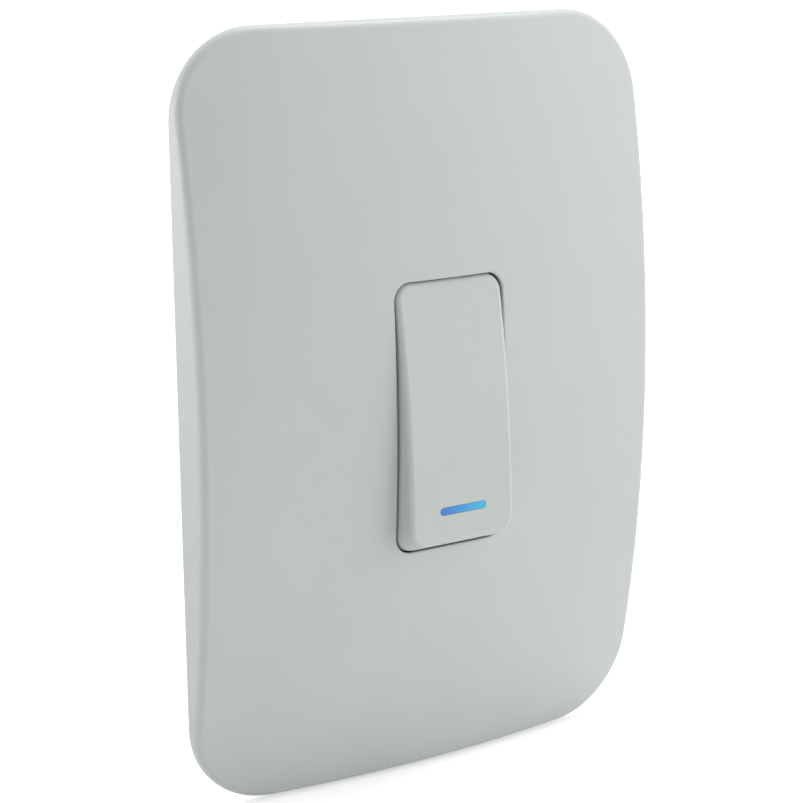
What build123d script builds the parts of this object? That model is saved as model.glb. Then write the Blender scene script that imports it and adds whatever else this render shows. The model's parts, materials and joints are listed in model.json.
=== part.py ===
from build123d import *
import math
import os

# One-way light switch with a crowned cover plate, in millimetres.
# X runs to the right across the front, Y into the wall and Z up, and the wall's surface is Y = 0.
# A size called front is a distance out of the wall (front = -Y), so it is negative inside the wall box.

# Cover plate: a shell whose face is crowned across its width and along its height
plate_width = 82.9
plate_height = 120.0
plate_corner = 13.5
plate_rise = 11.3  # front of the face at its middle
fall_wide = 4.0  # drop of the face from its middle to its long edges
fall_tall = 7.4  # drop of the face from its middle to its short edges
plate_wall = 2.0
edge_round = 1.3
opening_corner = 2.8
opening_edge = 0.25  # rounding of the opening's front edge
rim_wall = 1.3  # collar behind the face, round the opening
rib_thick = 1.2
rib_height = 12.0  # of the cross ribs above and below the middle

# Rocker, sized as it stands level between its two stops
rocker_width = 19.0
rocker_length = 40.5  # of its face
rocker_corner = 2.6
rocker_front = 13.2  # front of its face at its middle
rocker_bow = 1.0  # drop of its face from the middle to its ends
rocker_skin = 1.6
rocker_wall = 1.5
rocker_edge = 0.8
rocker_draft = 0.8  # degrees
skirt_depth = 7.2  # from the middle of the face to the skirt's rear edge
rocker_swing = 11.6  # degrees, from stop to stop
rocker_side_gap = 0.4
rocker_end_gap = 0.3  # its ends are round about the pivot, so this holds through the swing
pivot_front = 3.8
trunnion_radius = 1.8
trunnion_clearance = 0.06
lug_radius = 3.2
web_thick = 1.2

# Blue locator strip, pressed into the rocker's face from behind
locator_length = 8.5
locator_height = 1.2
locator_setback = 5.0  # from the rocker's lower end to the strip's middle
locator_fit = 0.04
locator_lip = 0.9  # how far its flange stands out behind the face
locator_flange = 0.7

# Boss, plunger and spring that throw the contact
boss_radius = 3.4
boss_back = -3.8
bore_radius = 2.05
bore_end = 7.6
plunger_clearance = 0.07
plunger_length = 9.0
plunger_wall = 0.5
plunger_gap = 0.12  # to the moving contact as the rocker passes its middle
spring_wire = 0.45
spring_turns = 8
spring_clearance = 0.1

# Moving contact: a bar that rocks on the common strip's blade
contact_pivot = -9.0  # front of the bar's rocking axis
contact_swing = 16.6  # degrees, from stop to stop
contact_width = 5.2
contact_thick = 1.2
contact_corner = 1.2
contact_end_room = 1.0  # from the bar's end to the terminal chamber
knife_radius = 0.5
groove_clearance = 0.05
closed_gap = 0.15  # left where the bar meets the fixed tip or its stop

# Contact tips: riveted silver buttons with a low dome
tip_radius = 1.6
tip_height = 0.8
tip_dome = 4.0
tip_stem = 0.8
tip_fit = 0.03
tip_setback = 2.0  # from the bar's end

# Contact strips
strip_thick = 0.8
strip_width = 6.4
strip_bend = 0.3
strip_drop = 6.4  # from the bar's rocking axis back to the strips' ends on the terminals
horn_clearance = 0.25
horn_width = 1.3
horn_height = 2.0

# Terminals: brass tunnels with a clamping screw from behind
block_width = 7.8
block_length = 6.4
block_depth = 6.6
block_round = 0.4
block_room = 0.2
wire_radius = 1.7
wire_depth = 2.6  # from the block's front to the wire's axis
screw_radius = 1.75
screw_fit = 0.05
screw_head_radius = 2.6
screw_head_height = 2.0
screw_slot = 0.9
screw_back_off = 1.0  # head left off the block, so that the wire tunnel is clear
screw_well = 3.6
screw_well_room = 0.3
wire_entry_room = 0.4
wire_entry_flare = 0.7

# Insert housing: collar in front, base behind
collar_gap = 0.4  # beside the rocker's skirt
collar_end_gap = 0.35  # beyond the rocker's ends
collar_wall = 1.65
collar_end_wall = 1.2
collar_corner = 1.5
collar_back = -1.0
collar_floor = 1.4
bearing_wall = 1.0  # above the trunnion hole
flange_width = 2.0
flange_thick = 1.2
leg_thick = 1.15
leg_gap = 0.05
leg_width = 7.0
leg_length = 8.0
leg_setback = 7.6  # from the base's end to the leg's middle
leg_window = 4.4
leg_window_height = 3.0
leg_foot = 2.0  # below the leg's window
catch_height = 0.9
catch_room = 0.2
latch_width = 4.0
latch_height = 0.8
latch_spread = 6.0
base_wall = 1.6
base_inset = 2.1  # the base is this much shorter than the collar at each end
base_corner = 1.2
trough_room = 2.2  # beside the common strip's horns
slot_room = 0.8  # beside the boss, in the collar's floor
slot_swing = 1.6  # above and below the boss

# Support frame: carries the insert and the cover, and takes the wall-box screws
frame_width = 58.0
frame_height = 98.0
frame_corner = 12.0
frame_face = 3.0
frame_skin = 1.8
frame_rim = 2.0
frame_rib = 1.8
window_gap = 0.3
box_screw_spacing = 83.5
slot_width = 4.2
slot_length = 7.0
slot_pad = 3.9  # solid round each slot
seat_border = 2.0  # flat for the screw's head round each slot
seat_depth = 1.0

# Hooks that hold the cover to the frame
hook_across = 20.0
hook_up = 38.0
hook_width = 6.0
hook_thick = 1.4
hook_barb = 0.8
hook_grip = 0.1  # from the barb to the frame's skin
hook_tip = 0.3  # left between the hook's end and the wall
hook_side_room = 0.6
hook_spring_room = 0.9
hook_back_room = 0.25

# Small allowances for cuts that run past a face and for seams
margin = 1.0
assembly_gap = 0.3

# Sizes that follow from the ones above
opening_width = rocker_width + 2 * rocker_side_gap
end_radius = math.hypot(rocker_length / 2, rocker_front - rocker_bow - pivot_front)
opening_radius = end_radius + rocker_end_gap
skirt_front = rocker_front - skirt_depth
skirt_spread = skirt_depth * math.tan(math.radians(rocker_draft))
skirt_width = rocker_width + 2 * skirt_spread
locator_drop = rocker_length / 2 - locator_setback
collar_inner_width = skirt_width + 2 * collar_gap
collar_width = collar_inner_width + 2 * collar_wall
collar_inner_height = 2 * (end_radius + collar_end_gap)
collar_height = collar_inner_height + 2 * collar_end_wall
collar_front = pivot_front + trunnion_radius + bearing_wall
base_width = collar_width - 2 * (leg_thick + leg_gap)
base_height = collar_height - 2 * base_inset
window_width = collar_width + 2 * window_gap
window_height = collar_height + 2 * window_gap
frame_back = frame_face - frame_skin
strip_front = contact_pivot - strip_drop
floor_front = strip_front - strip_thick
block_back = floor_front - block_depth
base_back = block_back - screw_well
chamber_end = base_height / 2 - base_wall
block_middle = chamber_end - block_room - block_length / 2
chamber_start = block_middle - block_length / 2 - block_room
contact_reach = chamber_start - contact_end_room
tip_offset = contact_reach - tip_setback
wire_front = floor_front - wire_depth
plunger_radius = bore_radius - plunger_clearance
plunger_tip = contact_pivot + contact_thick + plunger_gap
plunger_seat = plunger_tip + plunger_radius
blade_half = contact_width / 2 + horn_clearance + horn_width
half_throw = math.radians(contact_swing / 2)
tip_travel = (tip_height - tip_dome) * math.cos(half_throw) + tip_offset * math.sin(half_throw) + tip_dome
fixed_tip_front = contact_pivot - tip_travel - closed_gap
fixed_tip_height = tip_offset * math.cos(half_throw) + (tip_dome - tip_height) * math.sin(half_throw)
fixed_strip_front = fixed_tip_front - tip_height
fixed_strip_start = fixed_tip_height - tip_radius - strip_thick
stop_front = contact_pivot - contact_reach * math.sin(half_throw) - closed_gap
common_strip_start = -knife_radius


# Helpers
def slab(outline, low, high):
    """Outline drawn on the wall (X across, Z up), made solid between two front distances."""
    return extrude(Plane.XZ.offset(low) * outline, amount=high - low)


def side_plate(points, low, high):
    """Outline of (front, Z) points seen from the side, made solid between two X values."""
    outline = make_face(Polyline([(-front, height) for front, height in points], close=True))
    return extrude(Plane.YZ.offset(low) * outline, amount=high - low)


def rod(radius, start, end):
    """Round bar from one point to another."""
    path = Vector(*end) - Vector(*start)
    return Plane(origin=start, z_dir=path) * Cylinder(
        radius, path.length, align=(Align.CENTER, Align.CENTER, Align.MIN)
    )


def arc_radius(half_span, drop):
    """Radius of the arc that falls by drop over half its span."""
    return (half_span**2 + drop**2) / (2 * drop)


def turned(piece, front, angle):
    """Piece turned about the X axis that lies at this front distance."""
    return piece.rotate(Axis((0, -front, 0), (1, 0, 0)), angle)


def pivot_round(radius):
    """Round bar along the rocker's pivot, as long as the plate is wide."""
    return rod(radius, (-plate_width / 2, -pivot_front, 0), (plate_width / 2, -pivot_front, 0))


def swing_block(width, radius, corner, low, high, draft=0):
    """Block between two front distances: its ends are round about the pivot, and its corners are rounded."""
    block = extrude(Plane.XZ.offset(low) * Rectangle(width, 3 * radius), amount=high - low, taper=draft)
    block = block & pivot_round(radius)
    corners = block.edges() - block.edges().filter_by(Axis.X) - block.edges().filter_by(Axis.Z)
    return fillet(corners, corner)


def rocker_at_rest(piece):
    """Rest pose of what rides on the rocker: its top is pressed in."""
    return turned(piece, pivot_front, -rocker_swing / 2)


def contact_at_rest(piece):
    """Rest pose of the moving contact: its upper end is lifted off the fixed tip."""
    return turned(piece, contact_pivot, contact_swing / 2)


# Cover plate
def plate_crown(inset):
    """Everything behind the plate's crowned face, or behind a face set back from it by inset."""
    across = arc_radius(plate_width / 2, fall_wide) - inset
    along = arc_radius(plate_height / 2, fall_tall)
    front = plate_rise - inset
    reach = plate_width * 0.6
    side = front - across + math.sqrt(across**2 - reach**2)
    back = -plate_rise
    face = ThreePointArc((-reach, -side), (0, -front), (reach, -side))
    rest = Polyline((reach, -side), (reach, -back), (-reach, -back), (-reach, -side))
    axis = Axis((0, along - plate_rise, 0), (1, 0, 0))
    half_turn = math.degrees(math.asin(plate_height * 0.6 / along))
    section = make_face(face + rest).rotate(axis, -half_turn)
    return revolve(section, axis, 2 * half_turn)


def plate_hook(across, side):
    """Spring hook behind the plate, at an X position, above (side 1) or below (side -1) the middle."""
    catch = frame_back - hook_grip
    outline = [
        (plate_rise, side * hook_up),
        (hook_tip, side * hook_up),
        (hook_tip, side * (hook_up + hook_thick)),
        (catch, side * (hook_up + hook_thick + hook_barb)),
        (catch, side * (hook_up + hook_thick)),
        (plate_rise, side * (hook_up + hook_thick)),
    ]
    return side_plate(outline, across - hook_width / 2, across + hook_width / 2)


def plate_rib(side, height):
    """Cross rib behind the face, from the opening's collar to the side wall."""
    inner = opening_width / 2 + rim_wall / 2
    outer = plate_width / 2 - plate_wall / 2
    outline = Pos(side * (inner + outer) / 2, height) * Rectangle(outer - inner, rib_thick)
    return slab(outline, frame_face + flange_thick + 2 * assembly_gap, plate_rise)


def cover_plate():
    """Crowned shell with the rocker's opening, its collar, cross ribs and four hooks."""
    rim_back = collar_front + assembly_gap
    opening = swing_block(opening_width, opening_radius, opening_corner, rim_back - margin, plate_rise + margin)
    outer = slab(RectangleRounded(plate_width, plate_height, plate_corner), 0, plate_rise + margin)
    outer = outer & plate_crown(0)
    outer = fillet(outer.faces().sort_by(Axis.Y)[0].edges(), edge_round)
    outer = outer - opening
    outer = fillet(outer.faces().sort_by(Axis.Y)[0].inner_wires()[0].edges(), opening_edge)
    hollow = slab(
        RectangleRounded(
            plate_width - 2 * plate_wall, plate_height - 2 * plate_wall, plate_corner - plate_wall
        ),
        -margin,
        plate_rise,
    )
    shell = outer - (hollow & plate_crown(plate_wall))
    inside = swing_block(
        opening_width + 2 * rim_wall, opening_radius + rim_wall, opening_corner + rim_wall, rim_back, plate_rise
    )
    inside = inside - opening
    for side in (-1, 1):
        for level in (-1, 1):
            inside = inside + plate_hook(side * hook_across, level)
            inside = inside + plate_rib(side, level * rib_height)
    insert_room = Rectangle(collar_width + 2 * assembly_gap, collar_height + 2 * assembly_gap)
    inside = inside - slab(insert_room, -margin, rim_back)
    return shell + (inside & plate_crown(plate_wall / 2))


# Support frame
def box_slot(height, border):
    """Outline of a wall-box screw slot at a Z position, grown by a border."""
    return Pos(0, height) * SlotOverall(slot_length + 2 * border, slot_width + 2 * border, rotation=90)


def support_frame():
    """Moulded frame: a rimmed skin with the insert's window, screw slots, hook windows and ribs."""
    outline = RectangleRounded(frame_width, frame_height, frame_corner)
    inner = RectangleRounded(
        frame_width - 2 * frame_rim, frame_height - 2 * frame_rim, frame_corner - frame_rim
    )
    frame = slab(outline, frame_back, frame_face) + slab(outline - inner, 0, frame_face)
    rib_span = (frame_width - window_width) / 2
    for side in (-1, 1):
        beside_window = Pos(side * (window_width + frame_rib) / 2, 0) * Rectangle(frame_rib, window_height)
        frame = frame + slab(beside_window, 0, frame_face)
        frame = frame + slab(box_slot(side * box_screw_spacing / 2, slot_pad), 0, frame_face)
        for level in (-1, 1):
            across = Pos(side * (window_width + rib_span) / 2, level * rib_height)
            frame = frame + slab(across * Rectangle(rib_span, frame_rib), 0, frame_face)
    frame = frame & slab(outline, 0, frame_face)
    frame = frame - slab(Rectangle(window_width, window_height), -margin, frame_face + margin)
    hook_low = hook_up - hook_spring_room
    hook_high = hook_up + hook_thick + hook_back_room
    for side in (-1, 1):
        screw_height = side * box_screw_spacing / 2
        seat = box_slot(screw_height, seat_border)
        frame = frame - slab(box_slot(screw_height, 0), -margin, frame_face + margin)
        frame = frame - slab(seat, frame_face - seat_depth, frame_face + margin)
        for level in (-1, 1):
            place = Pos(side * hook_across, level * (hook_low + hook_high) / 2)
            hook_window = place * Rectangle(hook_width + 2 * hook_side_room, hook_high - hook_low)
            frame = frame - slab(hook_window, -margin, frame_face + margin)
    return frame


# Insert housing
def snap_leg(side, level):
    """Leg of the collar that runs back along the base and snaps over its catch."""
    outer = side * collar_width / 2
    inner = side * (collar_width / 2 - leg_thick)
    middle = level * (base_height / 2 - leg_setback)
    leg = slab(
        Pos((outer + inner) / 2, middle) * Rectangle(leg_thick, leg_width),
        collar_back - leg_length,
        collar_back + collar_floor,
    )
    window_low = collar_back - leg_length + leg_foot
    window = Pos((outer + inner) / 2, middle) * Rectangle(leg_thick + margin, leg_window)
    return leg - slab(window, window_low, window_low + leg_window_height)


def base_catch(side, level):
    """Wedge on the base that fills the snap leg's window: its ramp faces the front."""
    wall = base_width / 2
    middle = level * (base_height / 2 - leg_setback)
    low = collar_back - leg_length + leg_foot + catch_room
    high = low + leg_window_height - 2 * catch_room
    root = wall - base_wall / 2
    points = [(root, -low), (wall + catch_height, -low), (wall, -high), (root, -high)]
    width = leg_window - 2 * catch_room
    outline = make_face(Polyline([(side * across, depth) for across, depth in points], close=True))
    return extrude(Plane.XY.offset(middle - width / 2) * outline, amount=width)


def frame_latch(across, side):
    """Barb on the collar's end wall that snaps behind the support frame's skin."""
    wall = collar_height / 2
    catch = frame_back - hook_grip
    outline = [
        (catch, side * (wall - collar_end_wall / 2)),
        (catch, side * (wall + latch_height)),
        (collar_back, side * wall),
        (collar_back, side * (wall - collar_end_wall / 2)),
    ]
    return side_plate(outline, across - latch_width / 2, across + latch_width / 2)


def module_collar():
    """Front half of the insert: flange, walls round the rocker, bearings, floor, legs and latches."""
    outer = RectangleRounded(collar_width, collar_height, collar_corner)
    inner = Rectangle(collar_inner_width, collar_inner_height)
    flange = RectangleRounded(
        collar_width + 2 * flange_width, collar_height + 2 * flange_width, collar_corner + flange_width
    )
    collar = slab(outer, collar_back, collar_front)
    collar = collar + slab(flange, frame_face, frame_face + flange_thick)
    collar = collar - slab(inner, collar_back + collar_floor, collar_front + margin)
    boss_slot = Rectangle(2 * (boss_radius + slot_room), 2 * (boss_radius + slot_swing))
    collar = collar - slab(boss_slot, collar_back - margin, collar_front)
    hole_radius = trunnion_radius + trunnion_clearance
    half = collar_width / 2
    collar = collar - rod(hole_radius, (-half, -pivot_front, 0), (half, -pivot_front, 0))
    for side in (-1, 1):
        for level in (-1, 1):
            collar = collar + snap_leg(side, level)
            collar = collar + frame_latch(side * latch_spread, level)
    return collar


def module_base():
    """Rear half of the insert: contact trough, terminal chambers, screw wells, wire entries, catches."""
    base = slab(RectangleRounded(base_width, base_height, base_corner), base_back, collar_back)
    trough_width = 2 * (blade_half + trough_room)
    base = base - slab(Rectangle(trough_width, 2 * chamber_start), floor_front, collar_back + margin)
    end = chamber_start - block_room - strip_thick - strip_bend
    shelves = ((1, fixed_strip_start, fixed_strip_front), (-1, common_strip_start, stop_front))
    for level, start, front in shelves:
        ledge = Pos(0, level * (start + end) / 2) * Rectangle(trough_width, end - start)
        base = base + slab(ledge, floor_front - margin, front - strip_thick)
    chamber_length = chamber_end - chamber_start
    chamber_width = block_width + 2 * block_room
    for level in (-1, 1):
        middle = level * (chamber_start + chamber_end) / 2
        chamber = Pos(0, middle) * Rectangle(chamber_width, chamber_length)
        base = base - slab(chamber, block_back, collar_back + margin)
        screw_axis = level * block_middle
        well_radius = screw_head_radius + screw_well_room
        well_end = (0, -block_back - margin, screw_axis)
        base = base - rod(well_radius, (0, -base_back + margin, screw_axis), well_end)
        entry = wire_radius + wire_entry_room
        outside = level * base_height / 2
        base = base - rod(entry, (0, -wire_front, middle), (0, -wire_front, outside + level * margin))
        flare = Cone(entry, entry + 2 * wire_entry_flare, 2 * wire_entry_flare)
        base = base - Plane(origin=(0, -wire_front, outside), z_dir=(0, 0, level)) * flare
        for side in (-1, 1):
            base = base + base_catch(side, level)
    return base


# Rocker and what rides on it
def rocker_crown(inset):
    """Everything behind the rocker's bowed face, or behind a face set back from it by inset."""
    bow = arc_radius(rocker_length / 2, rocker_bow)
    middle = bow - rocker_front
    return rod(bow - inset, (-rocker_width, middle, 0), (rocker_width, middle, 0))


def locator_outline(grow):
    """Round-ended bar, grown all round."""
    return Pos(0, -locator_drop) * SlotOverall(locator_length + 2 * grow, locator_height + 2 * grow)


def rocker():
    """Hollow lever cap with a bowed face, pivot lugs and trunnions, and the plunger's boss."""
    cap = swing_block(skirt_width, end_radius, rocker_corner, skirt_front, rocker_front + margin, rocker_draft)
    cap = cap & rocker_crown(0)
    cap = fillet(cap.faces().sort_by(Axis.Y)[0].edges(), rocker_edge)
    inner_width = rocker_width - 2 * rocker_wall
    inner_radius = end_radius - rocker_wall
    hollow = swing_block(inner_width, inner_radius, rocker_corner / 2, skirt_front - margin, rocker_front)
    cap = cap - (hollow & rocker_crown(rocker_skin))
    web = slab(Rectangle(web_thick, 2 * end_radius), skirt_front + margin, rocker_front)
    web = web & pivot_round(end_radius - rocker_wall / 2)
    boss = rod(boss_radius, (0, -rocker_front, 0), (0, -boss_back, 0))
    cap = cap + ((web + boss) & rocker_crown(rocker_skin / 2))
    cap = cap - rod(bore_radius, (0, -bore_end, 0), (0, -boss_back + margin, 0))
    for side in (-1, 1):
        face = side * rocker_width / 2
        inner = side * (rocker_width / 2 - rocker_wall)
        lug = Pos((face + inner) / 2, 0) * Rectangle(rocker_wall, 2 * lug_radius)
        cap = cap + slab(lug, pivot_front, skirt_front + margin)
        cap = cap + rod(lug_radius, (inner, -pivot_front, 0), (face, -pivot_front, 0))
        stub_end = side * (collar_width / 2 - assembly_gap)
        cap = cap + rod(trunnion_radius, (inner, -pivot_front, 0), (stub_end, -pivot_front, 0))
    cap = cap - slab(locator_outline(locator_fit), skirt_front, rocker_front + margin)
    flange_room = slab(locator_outline(locator_lip + assembly_gap), skirt_front, rocker_front)
    return rocker_at_rest(cap - (flange_room & rocker_crown(rocker_skin)))


def locator_strip():
    """Blue bar that shows in the rocker's face, with a flange behind it."""
    bar = slab(locator_outline(0), skirt_front, rocker_front + margin) & rocker_crown(0)
    flange = slab(locator_outline(locator_lip), skirt_front, rocker_front) & rocker_crown(rocker_skin)
    return rocker_at_rest(bar + flange - rocker_crown(rocker_skin + locator_flange))


def plunger():
    """Thimble with a round nose that presses on the moving contact."""
    end = plunger_tip + plunger_length
    body = rod(plunger_radius, (0, -plunger_seat, 0), (0, -end, 0))
    body = body + Pos(0, -plunger_seat, 0) * Sphere(plunger_radius)
    body = body - rod(plunger_radius - plunger_wall, (0, -plunger_seat, 0), (0, -end - margin, 0))
    return rocker_at_rest(body)


def plunger_spring():
    """Coil spring between the thimble's floor and the end of the boss's bore."""
    coil_radius = plunger_radius - plunger_wall - spring_clearance - spring_wire / 2
    start = -plunger_seat - spring_wire / 2
    length = bore_end - plunger_seat - spring_wire
    coil = Helix(length / spring_turns, length, coil_radius, center=(0, start, 0), direction=(0, -1, 0))
    section = Plane(origin=coil @ 0, z_dir=coil % 0) * Circle(spring_wire / 2)
    return rocker_at_rest(sweep(section, path=coil, is_frenet=True))


# Contacts
def contact_tip(seat, height, towards, stem):
    """Riveted button at a Z position, standing on a seat: towards is 1 to the front, -1 to the back."""
    top = seat + towards * tip_height
    dome = Pos(0, -(top - towards * tip_dome), height) * Sphere(tip_dome)
    head = rod(tip_radius, (0, -seat, height), (0, -top, height)) & dome
    return head + rod(tip_stem, (0, -seat, height), (0, -(seat - towards * stem), height))


def moving_contact():
    """Bar that rocks on the common strip's blade, with a coined groove and a hole for its tip."""
    outline = RectangleRounded(contact_width, 2 * contact_reach, contact_corner)
    bar = slab(outline, contact_pivot, contact_pivot + contact_thick)
    half = contact_width
    bar = bar - rod(knife_radius + groove_clearance, (-half, -contact_pivot, 0), (half, -contact_pivot, 0))
    hole_start = (0, -contact_pivot + margin, tip_offset)
    hole_end = (0, -contact_pivot - contact_thick - margin, tip_offset)
    return contact_at_rest(bar - rod(tip_stem + tip_fit, hole_start, hole_end))


def moving_contact_tip():
    """Silver button on the back of the bar's upper end."""
    return contact_at_rest(contact_tip(contact_pivot, tip_offset, -1, contact_thick))


def fixed_contact_tip():
    """Silver button that the bar closes on."""
    return contact_tip(fixed_strip_front, fixed_tip_height, 1, strip_thick)


def stepped_strip(start, front):
    """Strip that lies at this front from a Z position, then steps back to the upper terminal block."""
    outer = chamber_start - block_room
    inner = outer - strip_thick
    end = chamber_end - 2 * block_room
    outline = [
        (front, start),
        (front, outer),
        (strip_front, outer),
        (strip_front, end),
        (floor_front, end),
        (floor_front, inner),
        (front - strip_thick, inner),
        (front - strip_thick, start),
    ]
    strip = side_plate(outline, -strip_width / 2, strip_width / 2)
    bends = strip.edges().filter_by(Axis.X).filter_by_position(Axis.Z, inner, outer)
    return fillet(bends, strip_bend)


def fixed_contact_strip():
    """Strip from the fixed tip to the load terminal."""
    hole_start = (0, -fixed_strip_front - 2 * strip_thick, fixed_tip_height)
    hole_end = (0, -fixed_strip_front + 2 * strip_thick, fixed_tip_height)
    return stepped_strip(fixed_strip_start, fixed_strip_front) - rod(tip_stem + tip_fit, hole_start, hole_end)


def common_contact_strip():
    """Strip from the common terminal, under the bar's lower arm, to an upturned knife edge with two horns."""
    strip = mirror(stepped_strip(common_strip_start, stop_front), about=Plane.XY)
    horn_front = contact_pivot + horn_height
    blade = slab(Rectangle(2 * blade_half, 2 * knife_radius), stop_front - strip_thick, horn_front)
    notch_half = contact_width / 2 + horn_clearance
    blade = blade - slab(Rectangle(2 * notch_half, 4 * knife_radius), contact_pivot, horn_front + margin)
    knife = rod(knife_radius, (-notch_half, -contact_pivot, 0), (notch_half, -contact_pivot, 0))
    return strip + blade + knife


# Terminals
def terminal_block(level):
    """Brass tunnel: the wire runs through it along Z, and the screw comes from behind."""
    middle = level * block_middle
    block = slab(Pos(0, middle) * Rectangle(block_width, block_length), block_back, floor_front)
    block = fillet(block.edges().filter_by(Axis.Y), block_round)
    near = middle - block_length
    far = middle + block_length
    block = block - rod(wire_radius, (0, -wire_front, near), (0, -wire_front, far))
    return block - rod(screw_radius + screw_fit, (0, -wire_front, middle), (0, -block_back + margin, middle))


def terminal_screw(level):
    """Slotted clamping screw, backed off so that the wire's way is clear."""
    middle = level * block_middle
    head_front = block_back - screw_back_off
    head_back = head_front - screw_head_height
    shank = rod(screw_radius, (0, -wire_front + wire_radius + screw_fit, middle), (0, -head_front, middle))
    head = rod(screw_head_radius, (0, -head_front, middle), (0, -head_back, middle))
    head = chamfer(head.faces().sort_by(Axis.Y)[-1].edges(), screw_slot / 3)
    driver_slot = Pos(0, middle) * Rectangle(2 * screw_head_radius + margin, screw_slot)
    return shank + head - slab(driver_slot, head_back - margin, head_back + screw_slot)


nodes = {
    "cover_plate": cover_plate(),
    "support_frame": support_frame(),
    "module_collar": module_collar(),
    "module_base": module_base(),
    "rocker": rocker(),
    "locator_strip": locator_strip(),
    "plunger": plunger(),
    "plunger_spring": plunger_spring(),
    "moving_contact": moving_contact(),
    "moving_contact_tip": moving_contact_tip(),
    "fixed_contact_strip": fixed_contact_strip(),
    "fixed_contact_tip": fixed_contact_tip(),
    "common_contact_strip": common_contact_strip(),
    "terminal_block_common": terminal_block(-1),
    "terminal_block_load": terminal_block(1),
    "terminal_screw_common": terminal_screw(-1),
    "terminal_screw_load": terminal_screw(1),
}

os.makedirs("parts", exist_ok=True)
for name, piece in nodes.items():
    export_step(piece, f"parts/{name}.step")
    box = piece.bounding_box()
    print(f"{name}: {piece.volume:.1f} mm3, {box.size.X:.2f} x {box.size.Y:.2f} x {box.size.Z:.2f} mm")
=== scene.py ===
# %% [markdown]
# A one-way light switch: a white cover plate, crowned in both directions, with a slim rocker in the middle.
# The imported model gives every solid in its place, in metres: X to the right, Y into the wall and Z up.
# This lesson sets the camera, the floor and the light first, and then gives each piece its finish.

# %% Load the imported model
import json
import math

import bpy
import numpy as np
from mathutils import Matrix, Vector


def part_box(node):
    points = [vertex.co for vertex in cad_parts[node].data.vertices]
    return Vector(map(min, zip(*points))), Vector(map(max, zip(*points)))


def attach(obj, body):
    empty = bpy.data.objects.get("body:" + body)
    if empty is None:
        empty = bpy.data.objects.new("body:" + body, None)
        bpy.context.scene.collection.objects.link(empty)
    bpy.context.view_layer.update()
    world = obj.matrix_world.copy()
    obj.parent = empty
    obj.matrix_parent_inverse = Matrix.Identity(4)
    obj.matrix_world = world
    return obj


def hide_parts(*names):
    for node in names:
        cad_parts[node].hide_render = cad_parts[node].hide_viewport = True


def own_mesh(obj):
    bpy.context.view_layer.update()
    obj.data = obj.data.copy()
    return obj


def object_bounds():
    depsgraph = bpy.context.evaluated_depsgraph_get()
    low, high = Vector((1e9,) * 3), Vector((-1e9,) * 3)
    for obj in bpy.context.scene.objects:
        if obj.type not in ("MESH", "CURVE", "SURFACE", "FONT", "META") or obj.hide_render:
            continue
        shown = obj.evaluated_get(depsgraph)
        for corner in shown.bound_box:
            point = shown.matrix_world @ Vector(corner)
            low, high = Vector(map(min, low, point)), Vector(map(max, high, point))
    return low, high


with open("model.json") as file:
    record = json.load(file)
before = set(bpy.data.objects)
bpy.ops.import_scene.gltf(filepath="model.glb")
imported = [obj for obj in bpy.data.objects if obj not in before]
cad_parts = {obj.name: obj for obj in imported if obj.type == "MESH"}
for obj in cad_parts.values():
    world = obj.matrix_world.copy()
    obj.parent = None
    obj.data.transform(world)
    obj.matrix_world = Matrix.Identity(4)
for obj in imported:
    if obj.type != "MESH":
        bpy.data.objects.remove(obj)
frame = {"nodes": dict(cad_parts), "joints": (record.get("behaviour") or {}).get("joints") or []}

MM = 0.001
cad_low, cad_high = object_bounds()
nodes = frame["nodes"]
scene = bpy.context.scene
scene.view_settings.view_transform = "Standard"
print("pieces", len(nodes), "box in mm", [round((h - l) / MM, 1) for l, h in zip(cad_low, cad_high)])

# %% [markdown]
# The camera stands to the left of the switch and a little above it.
# Its place could be found by eye. A plate has straight edges and round corners of known size, though, so the
# viewing angles, the distance and the lens were solved from the plate's outline and the rim of its opening.

# %% Camera
view_yaw = math.radians(32.247)
view_pitch = math.radians(14.106)
view_roll = math.radians(0.452)
view_distance = 337.724 * MM
view_target = Vector((-2.288, 0.0, 0.109)) * MM
sensor_mm = 36.0
lens_mm = 95.843
nearest_seen = 10.0 * MM


def photo_camera():
    """Camera that looks along the yaw and pitch from the distance, with its horizon turned by the roll."""
    forward = Vector((
        math.sin(view_yaw) * math.cos(view_pitch),
        math.cos(view_yaw) * math.cos(view_pitch),
        -math.sin(view_pitch),
    ))
    level_right = Vector((math.cos(view_yaw), -math.sin(view_yaw), 0.0))
    level_down = forward.cross(level_right)
    right = math.cos(view_roll) * level_right + math.sin(view_roll) * level_down
    up = right.cross(forward)
    data = bpy.data.cameras.new("photo_camera")
    data.sensor_width = sensor_mm
    data.lens = lens_mm
    data.clip_start = nearest_seen
    camera = bpy.data.objects.new("photo_camera", data)
    scene.collection.objects.link(camera)
    axes = Matrix((right, up, -forward)).transposed()
    camera.matrix_world = Matrix.Translation(view_target - forward * view_distance) @ axes.to_4x4()
    return camera


scene.camera = photo_camera()
print("camera at", [round(c / MM, 1) for c in scene.camera.location], "mm")

# %% [markdown]
# Shader trees are drawn as boxes and wires in the editor. Here two small helpers stand for that: one sets
# down a box with some of its values filled in, and the other pulls a wire from an output to an input. A third
# tells rays that are seen from rays that only carry light about, which the floor and the backdrop both need.

# %% Helpers for shader trees
def add_node(tree, kind, values=None, **settings):
    """New shader node: values go to its inputs by name or number, settings to the node itself."""
    made = tree.nodes.new(kind)
    for name, value in settings.items():
        setattr(made, name, value)
    for socket, value in (values or {}).items():
        made.inputs[socket].default_value = value
    return made


def wire(tree, source, target):
    """Wire from an output socket to an input socket."""
    tree.links.new(source, target)


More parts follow.
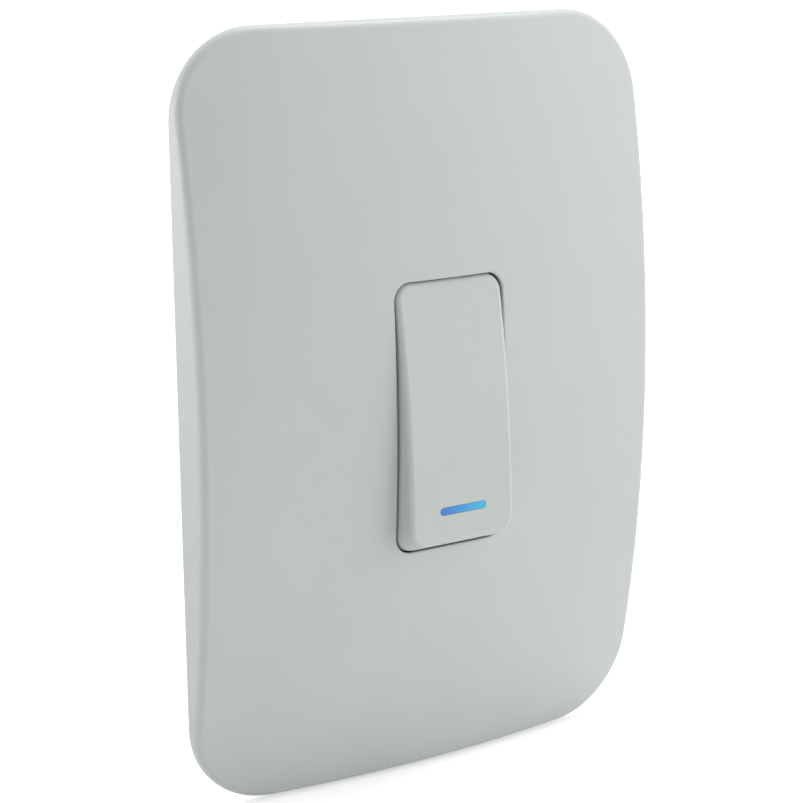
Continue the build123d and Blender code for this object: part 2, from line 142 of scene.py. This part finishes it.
def seen_directly(tree):
    """1 for rays from the camera or from a mirror-like surface, 0 for the rays that carry light about."""
    path = add_node(tree, "ShaderNodeLightPath")
    either = add_node(tree, "ShaderNodeMath", operation="MAXIMUM")
    wire(tree, path.outputs["Is Camera Ray"], either.inputs[0])
    wire(tree, path.outputs["Is Glossy Ray"], either.inputs[1])
    return either.outputs[0]


# %% [markdown]
# A white floor under the plate catches its shadow and throws light back up at the face. More light would make
# it look white, and would bleach the switch as well. So to the camera it glows by itself, and only the shadow
# shows on it. It glows more further out, where the lamps no longer reach. Lengths here are in metres.

# %% Floor
floor_half = 3.0
floor_drop = 0.5 * MM
floor_grey = 0.90
glow_near = 0.45
glow_far = 1.0
glow_start = 0.12
glow_end = 0.70


def floor_material():
    """Pale paint for the light, and a white glow for the camera that grows with distance from the switch."""
    material = bpy.data.materials.new("studio_floor")
    material.use_nodes = True
    tree = material.node_tree
    tree.nodes.clear()
    output = add_node(tree, "ShaderNodeOutputMaterial")
    paint = add_node(tree, "ShaderNodeBsdfDiffuse", {"Color": (floor_grey, floor_grey, floor_grey, 1.0)})
    place = add_node(tree, "ShaderNodeTexCoord")
    far = add_node(tree, "ShaderNodeVectorMath", operation="LENGTH")
    wire(tree, place.outputs["Object"], far.inputs[0])
    level = add_node(tree, "ShaderNodeMapRange", {
        "From Min": glow_start, "From Max": glow_end, "To Min": glow_near, "To Max": glow_far,
    })
    wire(tree, far.outputs["Value"], level.inputs["Value"])
    strength = add_node(tree, "ShaderNodeMath", operation="MULTIPLY")
    wire(tree, seen_directly(tree), strength.inputs[0])
    wire(tree, level.outputs["Result"], strength.inputs[1])
    glow = add_node(tree, "ShaderNodeEmission")
    wire(tree, strength.outputs[0], glow.inputs["Strength"])
    both = add_node(tree, "ShaderNodeAddShader")
    wire(tree, paint.outputs[0], both.inputs[0])
    wire(tree, glow.outputs[0], both.inputs[1])
    wire(tree, both.outputs[0], output.inputs["Surface"])
    return material


def floor():
    """Square floor just under the lowest point of the plate."""
    level = cad_low.z - floor_drop
    corners = [(-floor_half, -floor_half, level), (floor_half, -floor_half, level),
               (floor_half, floor_half, level), (-floor_half, floor_half, level)]
    mesh = bpy.data.meshes.new("studio_floor")
    mesh.from_pydata(corners, [], [(0, 1, 2, 3)])
    mesh.materials.append(floor_material())
    ground = bpy.data.objects.new("studio_floor", mesh)
    scene.collection.objects.link(ground)
    return ground


ground = floor()
print("floor", round(ground.data.vertices[0].co.z / MM, 1), "mm from the middle of the switch")

# %% [markdown]
# The switch stands as in a light tent: an even pale surround, a broad lamp on the right and one overhead,
# also to the right. One even light would do, but the crown of the plate only shows where the light changes
# across it. A small lamp close to the left edge, level with its top and a little behind the plate, makes the
# left wall brighter than the face. Being close, it fades quickly down that wall.

# %% Light
white = (1.0, 1.0, 1.0, 1.0)
sky_strength = 0.42
backdrop_strength = 1.0
lamps = {
    "right_lamp": {"place": (0.98, -0.72, 0.46), "size": 1.2, "power": 7.3},
    "top_lamp": {"place": (0.45, 0.15, 1.20), "size": 0.8, "power": 11.8},
    "corner_lamp": {"place": (-0.11, 0.05, 0.06), "size": 0.06, "power": 0.045},
}


def studio_world():
    """Even surround for the light, white for the camera and for reflections."""
    world = bpy.data.worlds.new("studio")
    world.use_nodes = True
    tree = world.node_tree
    tree.nodes.clear()
    output = add_node(tree, "ShaderNodeOutputWorld")
    sky = add_node(tree, "ShaderNodeBackground", {"Color": white, "Strength": sky_strength})
    backdrop = add_node(tree, "ShaderNodeBackground", {"Color": white, "Strength": backdrop_strength})
    mix = add_node(tree, "ShaderNodeMixShader")
    wire(tree, seen_directly(tree), mix.inputs["Fac"])
    wire(tree, sky.outputs[0], mix.inputs[1])
    wire(tree, backdrop.outputs[0], mix.inputs[2])
    wire(tree, mix.outputs[0], output.inputs["Surface"])
    scene.world = world


def soft_box(name, place, size, power):
    """Square lamp at a place in metres, turned to the middle of the switch and unseen by the camera."""
    data = bpy.data.lights.new(name, "AREA")
    data.shape = "SQUARE"
    data.size = size
    data.energy = power
    lamp = bpy.data.objects.new(name, data)
    lamp.location = place
    lamp.rotation_mode = "QUATERNION"
    lamp.rotation_quaternion = Vector(place).to_track_quat("Z", "Y")
    lamp.visible_camera = False
    scene.collection.objects.link(lamp)
    print(name, "at", place, "m,", size, "m wide,", power, "W")


studio_world()
for name, settings in lamps.items():
    soft_box(name, **settings)

# %% [markdown]
# Plastic parts keep the surface of the steel mould they are shot in. For a matt finish the steel is eroded by
# sparks, which leaves pits of many sizes, all under a millimetre, and the colour drifts a little over a part.
# Both could be painted on. Smooth noise of the position does the same, at its true size on every piece.

# %% Moulded grain
pit_detail = 3.0
patch_detail = 1.0


def new_group(name, inputs, outputs):
    """Empty shader group with sockets of the given names and kinds, and its two end nodes."""
    group = bpy.data.node_groups.new(name, "ShaderNodeTree")
    for socket, kind in inputs.items():
        group.interface.new_socket(socket, in_out="INPUT", socket_type=kind)
    for socket, kind in outputs.items():
        group.interface.new_socket(socket, in_out="OUTPUT", socket_type=kind)
    return group, add_node(group, "NodeGroupInput"), add_node(group, "NodeGroupOutput")


def sized_noise(group, position, size, detail):
    """Smooth noise of a position, from 0 to 1, whose lumps have the size of a wired number of millimetres."""
    scale = add_node(group, "ShaderNodeMath", {0: 1.0 / MM}, operation="DIVIDE")
    wire(group, size, scale.inputs[1])
    noise = add_node(group, "ShaderNodeTexNoise", {"Detail": detail})
    wire(group, position, noise.inputs["Vector"])
    wire(group, scale.outputs[0], noise.inputs["Scale"])
    return noise.outputs["Fac"]


def moulded_grain():
    """Group with two kinds of noise of the position: Height, fine pits, and Tone, broad soft patches."""
    number = "NodeSocketFloat"
    group, given, made = new_group(
        "moulded_grain", {"Pit Size": number, "Patch Size": number}, {"Height": number, "Tone": number}
    )
    place = add_node(group, "ShaderNodeTexCoord").outputs["Object"]
    wire(group, sized_noise(group, place, given.outputs["Pit Size"], pit_detail), made.inputs["Height"])
    wire(group, sized_noise(group, place, given.outputs["Patch Size"], patch_detail), made.inputs["Tone"])
    return group


grain_group = moulded_grain()
outputs = [s.name for s in grain_group.interface.items_tree if s.in_out == "OUTPUT"]
print("group", grain_group.name, "gives", outputs)

# %% [markdown]
# Every finish starts from the same shader and differs in a few numbers. Three helpers pass the noise on to
# it: as a number between two others, as a colour between two others, and as a bump with a real depth. The
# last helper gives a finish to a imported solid, whose shape stays as it is.

# %% Helpers for finishes
noise_low = 0.3
noise_high = 0.7


def finish(name):
    """New material, with its shader tree and its Principled shader."""
    material = bpy.data.materials.new(name)
    material.use_nodes = True
    return material, material.node_tree, material.node_tree.nodes["Principled BSDF"]


def between(tree, factor, low, high):
    """Number from low to high, chosen by noise, most of which lies between its own low and high."""
    limits = {"From Min": noise_low, "From Max": noise_high, "To Min": low, "To Max": high}
    level = add_node(tree, "ShaderNodeMapRange", limits)
    wire(tree, factor, level.inputs["Value"])
    return level.outputs["Result"]


def mixed_colour(tree, factor, first, second):
    """Colour from first to second, chosen by a number from 0 to 1."""
    mix = add_node(tree, "ShaderNodeMix", data_type="RGBA")
    colour_inputs = [socket for socket in mix.inputs if socket.type == "RGBA"]
    for socket, colour in zip(colour_inputs, (first, second)):
        socket.default_value = (*colour, 1.0)
    wire(tree, factor, mix.inputs["Factor"])
    return next(socket for socket in mix.outputs if socket.type == "RGBA")


def add_bump(tree, shader, height, depth):
    """Bump on a shader: noise from 0 to 1 stands for this depth in metres."""
    bump = add_node(tree, "ShaderNodeBump", {"Strength": 1.0, "Distance": depth})
    wire(tree, height, bump.inputs["Height"])
    wire(tree, bump.outputs["Normal"], shader.inputs["Normal"])


def dress(name, material):
    """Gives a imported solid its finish."""
    mesh = nodes[name].data
    mesh.materials.clear()
    mesh.materials.append(material)
    print(name, "is", material.name)


# %% [markdown]
# The cover and the rocker are an off-white with a breath of green. The frame and the insert behind them are
# never seen once the switch is on the wall, so they are plainer and glossier. All of them could share one
# white. They come out of different moulds, so one recipe gives each its own numbers. The plunger is
# uncoloured nylon, which lets some light into it. Sizes and depths of pits are in mm.

# %% White plastic
tone_drift = 0.015
gloss_drift = 0.03
nylon_clouding = 0.3
nylon_reach = 1.0 * MM


def moulded_plastic(name, colour, roughness, pit_size, pit_depth, patch_size=14.0):
    """Plastic with pits of a size and depth in mm, and a colour and roughness that drift in broad patches."""
    material, tree, shader = finish(name)
    sizes = {"Pit Size": pit_size, "Patch Size": patch_size}
    grain = add_node(tree, "ShaderNodeGroup", sizes, node_tree=grain_group)
    tone = grain.outputs["Tone"]
    darker = [c * (1 - tone_drift) for c in colour]
    lighter = [c * (1 + tone_drift) for c in colour]
    blend = mixed_colour(tree, between(tree, tone, 0.0, 1.0), darker, lighter)
    wire(tree, blend, shader.inputs["Base Color"])
    rough = between(tree, tone, roughness - gloss_drift, roughness + gloss_drift)
    wire(tree, rough, shader.inputs["Roughness"])
    add_bump(tree, shader, grain.outputs["Height"], pit_depth * MM)
    return material


def nylon():
    """Uncoloured nylon: a cloudy plastic that light enters for a millimetre or so."""
    material = moulded_plastic(
        "natural_nylon", colour=(0.66, 0.63, 0.54), roughness=0.40,
        pit_size=0.25, pit_depth=0.002, patch_size=2.0,
    )
    shader = material.node_tree.nodes["Principled BSDF"]
    shader.inputs["Subsurface Weight"].default_value = nylon_clouding
    shader.inputs["Subsurface Scale"].default_value = nylon_reach
    return material


cover_white = moulded_plastic(
    "cover_white", colour=(0.568, 0.609, 0.587), roughness=0.50, pit_size=0.50, pit_depth=0.015
)
rocker_white = moulded_plastic(
    "rocker_white", colour=(0.558, 0.609, 0.579), roughness=0.48, pit_size=0.50, pit_depth=0.013
)
frame_white = moulded_plastic(
    "frame_white", colour=(0.600, 0.610, 0.590), roughness=0.40, pit_size=0.30, pit_depth=0.002
)
housing_white = moulded_plastic(
    "housing_white", colour=(0.560, 0.565, 0.545), roughness=0.36, pit_size=0.30, pit_depth=0.002
)
dress("cover_plate", cover_white)
dress("rocker", rocker_white)
dress("support_frame", frame_white)
dress("module_collar", housing_white)
dress("module_base", housing_white)
dress("plunger", nylon())

# %% [markdown]
# The blue locator strip is a small polished moulding. Its colour holds painted shade and painted light: deep
# blue at the left end, and paler at the right end, which faces the lamps. A single blue would look like a
# sticker, so the colour runs along the strip.

# %% Blue locator strip
# Painted shade for the strip's left end, and painted light for its right end, which faces the lamps.
blue_painted_shade = (0.040, 0.195, 0.590)
blue_painted_light = (0.048, 0.490, 0.860)
blue_grain = {"Pit Size": 0.4, "Patch Size": 2.0}
blue_pit_depth = 0.001 * MM
blue_glossiest = 0.22
blue_dullest = 0.30


def locator_blue():
    """Polished blue plastic whose colour runs from painted shade at the strip's left end to painted light at
    its right end, which faces the lamps.
    """
    material, tree, shader = finish("locator_blue")
    low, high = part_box("locator_strip")
    place = add_node(tree, "ShaderNodeSeparateXYZ")
    wire(tree, add_node(tree, "ShaderNodeTexCoord").outputs["Object"], place.inputs[0])
    ends = {"From Min": low.x, "From Max": high.x}
    # Painted light: the strip turns paler towards its right end, where the lamps are.
    run = add_node(tree, "ShaderNodeMapRange", ends, interpolation_type="SMOOTHSTEP")
    wire(tree, place.outputs["X"], run.inputs["Value"])
    wire(tree, mixed_colour(tree, run.outputs["Result"], blue_painted_shade, blue_painted_light), shader.inputs["Base Color"])
    grain = add_node(tree, "ShaderNodeGroup", blue_grain, node_tree=grain_group)
    rough = between(tree, grain.outputs["Tone"], blue_glossiest, blue_dullest)
    wire(tree, rough, shader.inputs["Roughness"])
    add_bump(tree, shader, grain.outputs["Height"], blue_pit_depth)
    return material


dress("locator_strip", locator_blue())

# %% [markdown]
# The metal inside starts as rolled strip, drawn wire or extruded bar, so its fine scratches all run one way,
# and handling leaves broad dull stains. Scratches could be cut into the mesh one by one. Noise that is
# stretched along the rolling direction gives all of them at once, and plain noise gives the stains.

# %% Worked metal
streak_detail = 3.0
stain_detail = 2.0


def rolled_metal():
    """Group for worked metal: Streak, noise drawn out along one axis, and Stain, broad soft patches."""
    number, vector = "NodeSocketFloat", "NodeSocketVector"
    group, given, made = new_group(
        "rolled_metal",
        {"Squeeze": vector, "Streak Size": number, "Stain Size": number},
        {"Streak": number, "Stain": number},
    )
    place = add_node(group, "ShaderNodeTexCoord").outputs["Object"]
    squeezed = add_node(group, "ShaderNodeVectorMath", operation="MULTIPLY")
    wire(group, place, squeezed.inputs[0])
    wire(group, given.outputs["Squeeze"], squeezed.inputs[1])
    streak = sized_noise(group, squeezed.outputs["Vector"], given.outputs["Streak Size"], streak_detail)
    wire(group, streak, made.inputs["Streak"])
    wire(group, sized_noise(group, place, given.outputs["Stain Size"], stain_detail), made.inputs["Stain"])
    return group


metal_group = rolled_metal()
outputs = [s.name for s in metal_group.interface.items_tree if s.in_out == "OUTPUT"]
print("group", metal_group.name, "gives", outputs)

# %% Metal pieces
along_height = (1.0, 1.0, 0.04)
along_depth = (1.0, 0.04, 1.0)
no_direction = (1.0, 1.0, 1.0)
streak_size = 0.06
stain_size = 2.5
gloss_spread = 0.08
scratch_depth = 0.001 * MM


def metal(name, bright, dull, roughness, squeeze):
    """Worked metal: bright with duller stains, and streaks in its gloss and its surface, sizes in mm."""
    material, tree, shader = finish(name)
    shader.inputs["Metallic"].default_value = 1.0
    sizes = {"Squeeze": squeeze, "Streak Size": streak_size, "Stain Size": stain_size}
    worked = add_node(tree, "ShaderNodeGroup", sizes, node_tree=metal_group)
    stain = between(tree, worked.outputs["Stain"], 0.0, 1.0)
    wire(tree, mixed_colour(tree, stain, bright, dull), shader.inputs["Base Color"])
    rough = between(tree, worked.outputs["Streak"], roughness - gloss_spread, roughness + gloss_spread)
    wire(tree, rough, shader.inputs["Roughness"])
    add_bump(tree, shader, worked.outputs["Streak"], scratch_depth)
    return material


rolled_brass = metal(
    "rolled_brass", bright=(0.80, 0.61, 0.30), dull=(0.66, 0.48, 0.22), roughness=0.30, squeeze=along_height
)
bar_brass = metal(
    "bar_brass", bright=(0.78, 0.60, 0.31), dull=(0.62, 0.46, 0.23), roughness=0.34, squeeze=along_height
)
rivet_silver = metal(
    "rivet_silver", bright=(0.84, 0.83, 0.80), dull=(0.70, 0.67, 0.60), roughness=0.26, squeeze=no_direction
)
plated_steel = metal(
    "plated_steel", bright=(0.60, 0.62, 0.65), dull=(0.47, 0.49, 0.53), roughness=0.32, squeeze=along_depth
)
drawn_steel = metal(
    "drawn_steel", bright=(0.52, 0.53, 0.55), dull=(0.37, 0.38, 0.40), roughness=0.28, squeeze=along_depth
)
bar_copper = metal(
    "bar_copper", bright=(0.78, 0.46, 0.31), dull=(0.60, 0.33, 0.21), roughness=0.30, squeeze=along_height
)
dress("moving_contact", bar_copper)
for name in ("fixed_contact_strip", "common_contact_strip"):
    dress(name, rolled_brass)
for name in ("terminal_block_common", "terminal_block_load"):
    dress(name, bar_brass)
for name in ("moving_contact_tip", "fixed_contact_tip"):
    dress(name, rivet_silver)

# %% [markdown]
# Three pieces are made anew: two screws and a spring. They start from rings of points, which are joined into
# faces here and closed at both ends. The faces could be drawn one by one. Numbering the points ring by ring
# gives every face from two rows of numbers instead.

# %% Helpers for new pieces
crease_angle = math.radians(30.0)


def ring_faces(rings, around):
    """Four-cornered faces between neighbouring rings of points, closed round each ring."""
    ring, step = np.meshgrid(np.arange(rings - 1), np.arange(around), indexing="ij")
    here = ring * around + step
    beside = ring * around + (step + 1) % around
    return np.stack([here, beside, beside + around, here + around], axis=-1).reshape(-1, 4)


def capped_tube(grid):
    """Points and faces of a tube given as rings of points: each end is a fan round the mean of its ring."""
    rings, around = grid.shape[:2]
    points = np.concatenate([grid.reshape(-1, 3), [grid[0].mean(axis=0), grid[-1].mean(axis=0)]])
    step = np.arange(around)
    beside = (step + 1) % around
    last = (rings - 1) * around
    middle = np.full(around, rings * around)
    first_fan = np.stack([beside, step, middle], axis=-1)
    last_fan = np.stack([last + step, last + beside, middle + 1], axis=-1)
    return points, [ring_faces(rings, around), first_fan, last_fan]


def outward(points, face_sets):
    """Faces turned so that they enclose a positive volume: the sum of their corners' triple products."""
    volume = 0.0
    for faces in face_sets:
        for second in range(1, faces.shape[1] - 1):
            a, b, c = (points[faces[:, corner]] for corner in (0, second, second + 1))
            volume += np.einsum("ij,ij->i", a, np.cross(b, c)).sum()
    return face_sets if volume > 0 else [faces[:, ::-1] for faces in face_sets]


def new_piece(name, forms, material, node, body):
    """One mesh of several closed forms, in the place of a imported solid, which rides on a body."""
    points, faces = [], []
    for form_points, face_sets in forms:
        first = sum(len(p) for p in points)
        for corners in outward(form_points, face_sets):
            faces += (first + corners).tolist()
        points.append(form_points)
    mesh = bpy.data.meshes.new(name)
    mesh.from_pydata(np.concatenate(points), [], faces)
    mesh.polygons.foreach_set("use_smooth", np.ones(len(mesh.polygons), dtype=bool))
    mesh.set_sharp_from_angle(angle=crease_angle)
    mesh.materials.append(material)
    piece = bpy.data.objects.new(name, mesh)
    scene.collection.objects.link(piece)
    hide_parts(node)
    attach(piece, body)
    print(name, len(mesh.polygons), "faces, rides on", body)
    return piece


# %% [markdown]
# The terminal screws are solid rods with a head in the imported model, because a thread is only needed for the
# eye. It could be cut by carrying a cutter round the rod, which leaves ragged ends. But a thread is one
# groove wound round the rod: how deep the surface lies depends on how far along the rod it is, less how far
# round. So the shank is one sheet over those two numbers. The head is a second sheet, laid in straight rows
# that run along the driver slot.

# %% Threaded screws
thread_pitch = 0.6 * MM
thread_depth = 0.32 * MM
flank_share = 0.25
root_share = 0.25
steps_round = 72
steps_along_pitch = 14
slot_width = 0.9 * MM
slot_depth = 0.9 * MM
slot_draft = 0.02 * MM
head_height = 2.0 * MM
head_chamfer = 0.3 * MM
shank_radius = 1.75 * MM
outermost_row = math.radians(87.0)
rows_beside_slot = 22
rows_in_slot = 4
points_on_row = 41


def threaded_shank(start, end):
    """Rings of points of a threaded rod along Y, round X = Z = 0.

    Radius = shank radius - thread depth * groove. The groove is 0 on the crests and 1 in the roots, with
    straight flanks between, as the fraction of a pitch (distance / pitch - turn) goes from 0 to 1. The root
    and each flank take their shares of the pitch. Over the first pitch the crests rise from the root, which
    chamfers the end.
    """
    rings = round((end - start) / thread_pitch * steps_along_pitch) + 1
    along = np.linspace(start, end, rings)[:, None]
    turn = np.linspace(0.0, 1.0, steps_round, endpoint=False)[None, :]
    fraction = (along / thread_pitch - turn) % 1.0
    groove = np.clip((root_share / 2.0 + flank_share - np.abs(fraction - 0.5)) / flank_share, 0.0, 1.0)
    groove = np.maximum(groove, 1.0 - np.clip((along - start) / thread_pitch, 0.0, 1.0))
    radius = shank_radius - thread_depth * groove
    angle = 2.0 * np.pi * turn
    return np.stack(np.broadcast_arrays(radius * np.sin(angle), along, radius * np.cos(angle)), axis=-1)


def slotted_head(start, end, radius):
    """Points and faces of a round head along Y with a driver slot along X, round X = Z = 0.

    Each row has one Z. Its points go along the circle's chord over the outer face and back over the inner
    face. The outer face lies at the end, less the chamfer near the rim, and at the slot's floor between its
    walls.
    """
    half_slot = slot_width / 2.0
    outside = radius * np.sin(np.linspace(-outermost_row, -math.asin(half_slot / radius), rows_beside_slot))
    floor_edge = half_slot - slot_draft
    inside = np.linspace(-floor_edge, floor_edge, rows_in_slot)
    rows = np.concatenate([outside, inside, -outside[::-1]])[:, None]
    chord = np.sin(np.linspace(-np.pi / 2.0, np.pi / 2.0, points_on_row))[None, :]
    across = chord * np.sqrt(radius**2 - rows**2)
    height = np.broadcast_to(rows, across.shape)
    from_middle = np.hypot(across, height)
    outer = end - np.clip(from_middle - (radius - head_chamfer), 0.0, head_chamfer)
    outer = np.where(np.abs(height) <= floor_edge, np.minimum(outer, end - slot_depth), outer)
    top = np.stack([across, outer, height], axis=-1)
    under = np.stack([across, np.full_like(across, start), height], axis=-1)[:, ::-1]
    count, around = len(rows), 2 * chord.size
    points = np.concatenate([top, under], axis=1).reshape(-1, 3)
    over = np.arange(chord.size - 1)
    cap = np.stack([over, over + 1, around - 2 - over, around - 1 - over], axis=-1)
    last_cap = (cap + (count - 1) * around)[:, ::-1]
    return points, [ring_faces(count, around), cap, last_cap]


def terminal_screw(end_name):
    """Threaded shank and slotted head in the place of a packed screw."""
    node = f"terminal_screw_{end_name}"
    low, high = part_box(node)
    middle = np.array([(low.x + high.x) / 2.0, 0.0, (low.z + high.z) / 2.0])
    head_start = high.y - head_height
    shank_points, shank_faces = capped_tube(threaded_shank(low.y, head_start + thread_pitch / 2.0))
    head_points, head_faces = slotted_head(head_start, high.y, (high.x - low.x) / 2.0)
    forms = [(shank_points + middle, shank_faces), (head_points + middle, head_faces)]
    return new_piece(f"threaded_screw_{end_name}", forms, plated_steel, node, "housing")


for end_name in ("common", "load"):
    terminal_screw(end_name)

# %% [markdown]
# The plunger's spring is a coil of drawn wire. Its end turns are closed, so that it stands flat on its seats,
# and only the turns between them work. The imported coil is wound evenly, because an even helix is a simpler
# solid. Here the rise of the helix changes along the wire, so the ends close as on a real spring. The coil
# rides with the lever and keeps its length.

# %% Coil spring
spring_turns = 9.5
closed_turns = 1.0
wire_radius = 0.225 * MM
steps_a_turn = 48
steps_round_wire = 16


def slide_line():
    """A point on the plunger's line, its direction and its travel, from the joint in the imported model."""
    joint = next(j for j in frame["joints"] if j["name"] == "plunger_slide")
    direction = np.array(joint["axis"]) / np.linalg.norm(joint["axis"])
    return np.array(joint["pos_m"]), direction, joint["range_m"][1]


def measured_coil(point, direction):
    """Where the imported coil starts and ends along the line, and its outer radius."""
    mesh = nodes["plunger_spring"].data
    corners = np.zeros(3 * len(mesh.vertices))
    mesh.vertices.foreach_get("co", corners)
    offset = corners.reshape(-1, 3) - point
    along = offset @ direction
    radius = np.linalg.norm(offset - along[:, None] * direction, axis=1).max()
    return along.min(), along.max(), radius


def coiled_wire(point, direction, start, end, radius):
    """Rings of points of a round wire wound about a line.

    The wire's middle turns evenly. It rises by its own thickness over each closed turn and shares the rest of
    the length between the working turns. Each ring is a circle across the wire: cosine times the outward
    direction plus sine times the direction square to that and to the wire.
    """
    turn = np.linspace(0.0, spring_turns, round(spring_turns * steps_a_turn) + 1)
    closed_rise = wire_radius * (1.0 + 2.0 * closed_turns)
    rise = np.interp(
        turn,
        [0.0, closed_turns, spring_turns - closed_turns, spring_turns],
        [start + wire_radius, start + closed_rise, end - closed_rise, end - wire_radius],
    )
    side = np.array([1.0, 0.0, 0.0])
    up = np.cross(direction, side)
    angle = 2.0 * np.pi * turn[:, None]
    outwards = np.cos(angle) * side + np.sin(angle) * up
    middle = point + rise[:, None] * direction + (radius - wire_radius) * outwards
    forward = np.gradient(middle, axis=0)
    across = np.cross(forward, outwards)
    across /= np.linalg.norm(across, axis=1, keepdims=True)
    around = np.linspace(0.0, 2.0 * np.pi, steps_round_wire, endpoint=False)[None, :, None]
    ring = np.cos(around) * outwards[:, None] + np.sin(around) * across[:, None]
    return middle[:, None] + wire_radius * ring


def plunger_coil():
    """Coil between the plunger's floor and the end of its bore, riding on the lever at one length."""
    point, direction, travel = slide_line()
    start, end, radius = measured_coil(point, direction)
    forms = [capped_tube(coiled_wire(point, direction, start, end, radius))]
    coil = new_piece("coil_spring", forms, drawn_steel, "plunger_spring", "lever")
    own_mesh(coil)
    print("coil", round((end - start) / MM, 2), "mm long,", round(2 * radius / MM, 2), "mm across")


plunger_coil()
